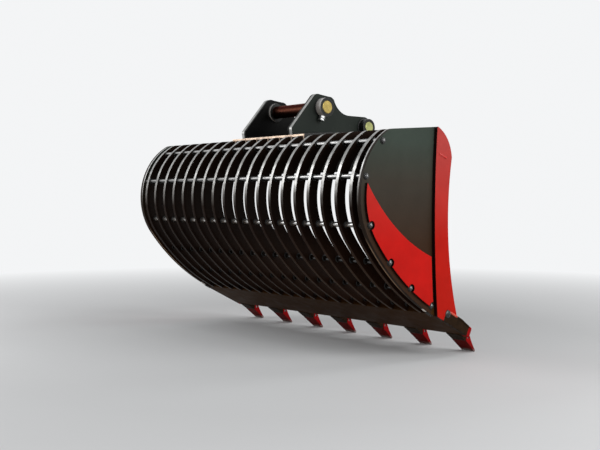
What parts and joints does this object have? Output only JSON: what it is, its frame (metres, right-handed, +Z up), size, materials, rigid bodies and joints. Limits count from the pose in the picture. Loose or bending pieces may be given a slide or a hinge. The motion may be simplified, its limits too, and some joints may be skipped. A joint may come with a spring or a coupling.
{
  "type": "excavator riddle bucket",
  "caption": "Skeleton (riddle) excavator bucket: curved ribs on cross rods between side plates, a toothed cutting lip, hitch ears and pins that draw out.",
  "frame": {"origin": "middle of the dipper pin, on its axis at the bucket's mid-width", "axes": "+X along the dipper pin towards the side on which the pins draw out, +Y out of the mouth, +Z up with the mouth upright"},
  "size_m": [1.224, 0.5691, 0.8801],
  "materials": {
    "side_grey": "satin charcoal paint, worn",
    "red_paint": "satin red paint, chipped at the edges",
    "rib_black": "gloss black paint, bright on the outer edges",
    "rod_steel": "black paint, rubbed at the ends",
    "lip_steel": "dark bronze-black paint on hard plate",
    "adapter_steel": "dark casting",
    "tooth_pin_steel": "plain steel",
    "hitch_grey": "satin dark grey paint",
    "yellow_zinc": "yellow zinc plated steel",
    "bright_zinc": "bright zinc plated steel"
  },
  "bodies": {
    "bucket": {"left_side_plate": "side_grey", "right_side_plate": "side_grey", "left_wear_plate": "red_paint", "right_wear_plate": "red_paint", "left_side_cutter": "red_paint", "right_side_cutter": "red_paint", "tooth_1": "red_paint", "tooth_2": "red_paint", "tooth_3": "red_paint", "tooth_4": "red_paint", "tooth_5": "red_paint", "tooth_6": "red_paint", "tooth_7": "red_paint", "rib_01": "rib_black", "rib_02": "rib_black", "rib_03": "rib_black", "rib_04": "rib_black", "rib_05": "rib_black", "rib_06": "rib_black", "rib_07": "rib_black", "rib_08": "rib_black", "rib_09": "rib_black", "rib_10": "rib_black", "rib_11": "rib_black", "rib_12": "rib_black", "rib_13": "rib_black", "rib_14": "rib_black", "rib_15": "rib_black", "rib_16": "rib_black", "rib_17": "rib_black", "rib_18": "rib_black", "rib_19": "rib_black", "cross_rod_1": "rod_steel", "cross_rod_2": "rod_steel", "cross_rod_3": "rod_steel", "cross_rod_4": "rod_steel", "cross_rod_5": "rod_steel", "cross_rod_6": "rod_steel", "cutting_lip": "lip_steel", "adapter_1": "adapter_steel", "adapter_2": "adapter_steel", "adapter_3": "adapter_steel", "adapter_4": "adapter_steel", "adapter_5": "adapter_steel", "adapter_6": "adapter_steel", "adapter_7": "adapter_steel", "tooth_pins": "tooth_pin_steel", "top_beam": "hitch_grey", "ear_base_plate": "hitch_grey", "left_ear": "hitch_grey", "right_ear": "hitch_grey", "left_dipper_boss": "hitch_grey", "right_dipper_boss": "hitch_grey", "left_link_boss": "hitch_grey", "right_link_boss": "hitch_grey", "set_bolts": "bright_zinc", "lock_nuts": "bright_zinc"},
    "dipper_pin": {"dipper_pin": "yellow_zinc"},
    "link_pin": {"link_pin": "yellow_zinc"}
  },
  "joints": [
    {"name": "dipper_pin_draw", "type": "slide", "parent": "bucket", "child": "dipper_pin", "axis": [1, 0, 0], "range_m": [0, 0.34]},
    {"name": "link_pin_draw", "type": "slide", "parent": "bucket", "child": "link_pin", "axis": [1, 0, 0], "range_m": [0, 0.34]}
  ]
}
